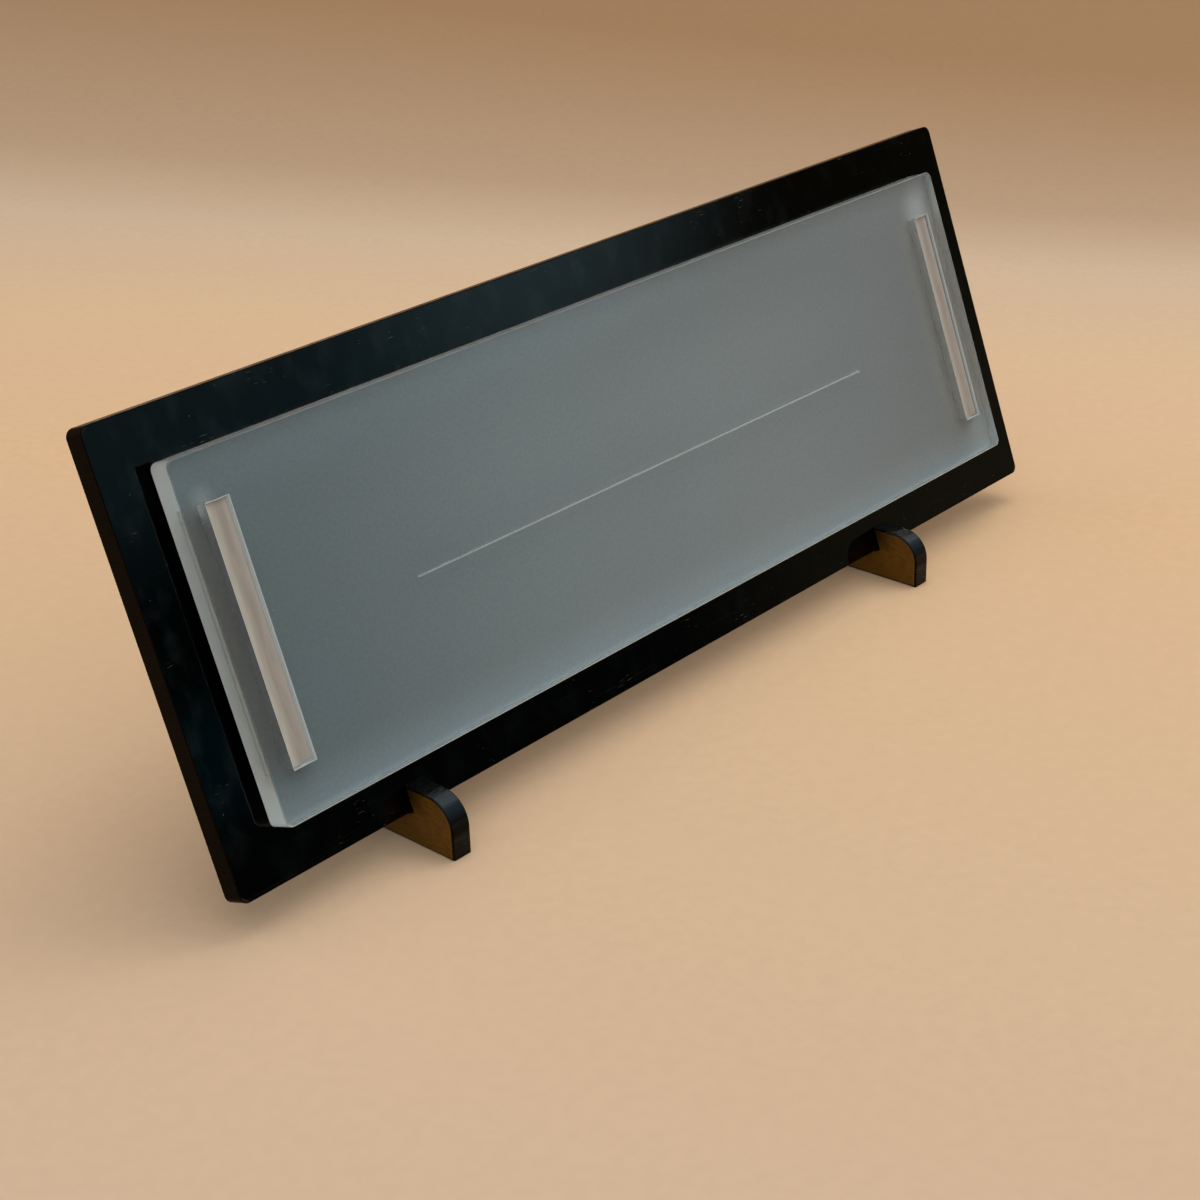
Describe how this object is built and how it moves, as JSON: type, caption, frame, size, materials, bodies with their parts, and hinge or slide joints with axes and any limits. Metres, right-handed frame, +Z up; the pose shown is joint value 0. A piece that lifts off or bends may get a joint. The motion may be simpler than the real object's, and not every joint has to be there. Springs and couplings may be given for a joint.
{
  "type": "desk name plate",
  "caption": "Leaning desk name plate: a frosted panel keyed to a black sheet that stands in slotted feet, which slide along its lower edge.",
  "frame": {"origin": "on the desk, under the middle of the plate's width and midway along the feet", "axes": "+X along the plate to the right as seen from the front, +Y to the back, +Z up"},
  "size_m": [0.2, 0.041, 0.0713],
  "materials": {
    "black_acrylic": "polished faces, laser-cut edges",
    "frosted_acrylic": "frosted face, bright cut edges",
    "clear_acrylic": "pale, cut edge showing",
    "brown_board": "plain brown faces, charred cut edges"
  },
  "bodies": {
    "plate": {"backing_plate": "black_acrylic", "front_panel": "frosted_acrylic", "left_key": "clear_acrylic", "right_key": "clear_acrylic"},
    "left_foot": {"left_foot": "brown_board"},
    "right_foot": {"right_foot": "brown_board"}
  },
  "joints": [
    {"name": "left_foot_slide", "type": "slide", "parent": "plate", "child": "left_foot", "axis": [1, 0, 0], "range_m": [-0.03285, 0.0616]},
    {"name": "right_foot_slide", "type": "slide", "parent": "plate", "child": "right_foot", "axis": [1, 0, 0], "range_m": [-0.0507, 0.04375]}
  ]
}
